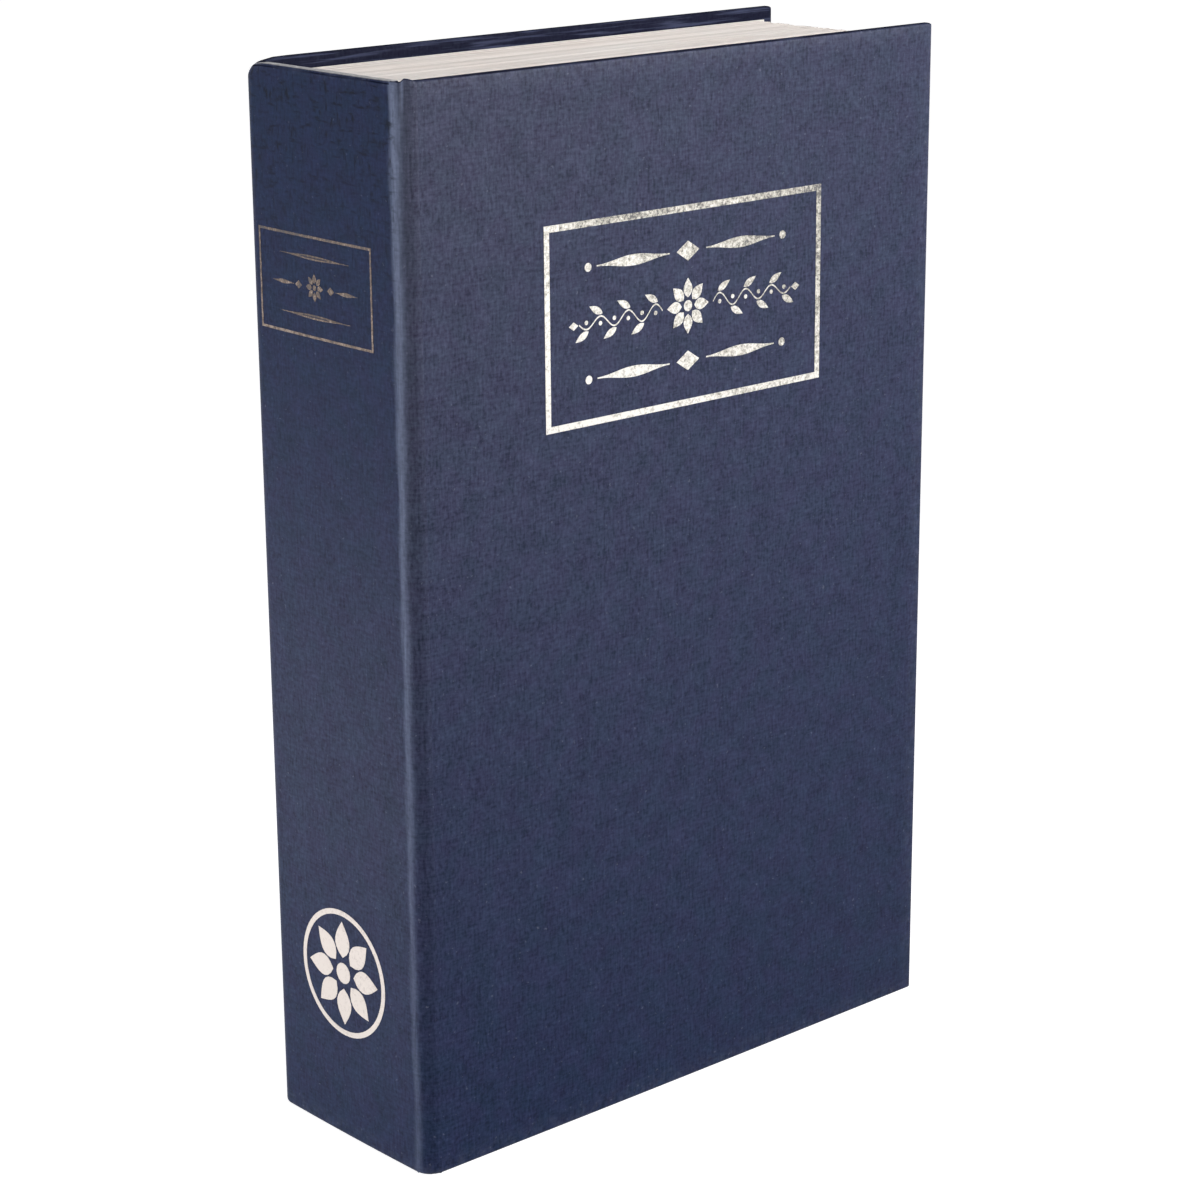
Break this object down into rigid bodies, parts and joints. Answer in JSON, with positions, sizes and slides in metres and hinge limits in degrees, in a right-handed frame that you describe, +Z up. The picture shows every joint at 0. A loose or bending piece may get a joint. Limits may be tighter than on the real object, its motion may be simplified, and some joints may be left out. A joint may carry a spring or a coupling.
{
  "type": "book diversion safe",
  "caption": "Navy cloth-bound book whose hollowed pages hold a steel cash box with a hinged lid and a cam lock, hidden behind an opening front cover.",
  "frame": {"origin": "under the middle of the closed book as it stands on its tail edge", "axes": "+X from the spine to the fore edge, +Y from the front cover to the back cover, +Z up from tail to head"},
  "size_m": [0.155, 0.055, 0.24],
  "materials": {
    "cover_cloth": "fine matte book cloth, navy",
    "foil": "worn silver foil blocking",
    "greyboard": "grey bookbinding board",
    "endpaper": "plain off-white endpaper",
    "page_paper": "uncoated book paper, off-white",
    "box_paint": "fine-textured black powder coat",
    "bare_steel": "zinc-plated steel",
    "lock_chrome": "bright nickel-chrome plate",
    "mounting_tape": "double-sided mounting tape"
  },
  "bodies": {
    "root": {"back_board": "greyboard", "back_cover_cloth": "cover_cloth", "back_pastedown": "endpaper", "spine_board": "greyboard", "spine_cloth": "cover_cloth", "spine_lining": "page_paper", "front_joint_cloth": "cover_cloth", "back_joint_cloth": "cover_cloth", "page_face_sheet": "page_paper", "page_section_1": "page_paper", "page_section_2": "page_paper", "page_section_3": "page_paper", "page_section_4": "page_paper", "page_section_5": "page_paper", "page_section_6": "page_paper", "page_section_7": "page_paper", "box_body": "box_paint", "strike_bracket": "bare_steel", "mounting_tape_tail": "mounting_tape", "mounting_tape_head": "mounting_tape", "hinge_pin": "bare_steel"},
    "front_cover": {"front_board": "greyboard", "front_cover_cloth": "cover_cloth", "front_pastedown": "endpaper"},
    "lid": {"box_lid": "box_paint", "lock_housing": "lock_chrome", "lock_washer": "bare_steel", "lock_nut": "bare_steel"},
    "lock_cylinder": {"lock_plug": "lock_chrome", "lock_cam": "bare_steel", "cam_washer": "bare_steel", "cam_screw": "bare_steel"}
  },
  "joints": [
    {"name": "cover_hinge", "type": "hinge", "parent": "root", "child": "front_cover", "pos_m": [-0.0764, -0.0264, 0.12], "axis": [0, 0, -1], "range_deg": [0, 180], "deforming": ["front_joint_cloth"]},
    {"name": "lid_hinge", "type": "hinge", "parent": "root", "child": "lid", "pos_m": [-0.0625, -0.0198, 0.12], "axis": [0, 0, -1], "range_deg": [0, 100]},
    {"name": "lock_turn", "type": "hinge", "parent": "lid", "child": "lock_cylinder", "pos_m": [0.043, -0.0221, 0.12], "axis": [0, -1, 0], "range_deg": [0, 90]}
  ],
  "couplings": [
    {"joint": "lid_hinge", "follows": "cover_hinge", "ratio": 0.5555}
  ]
}
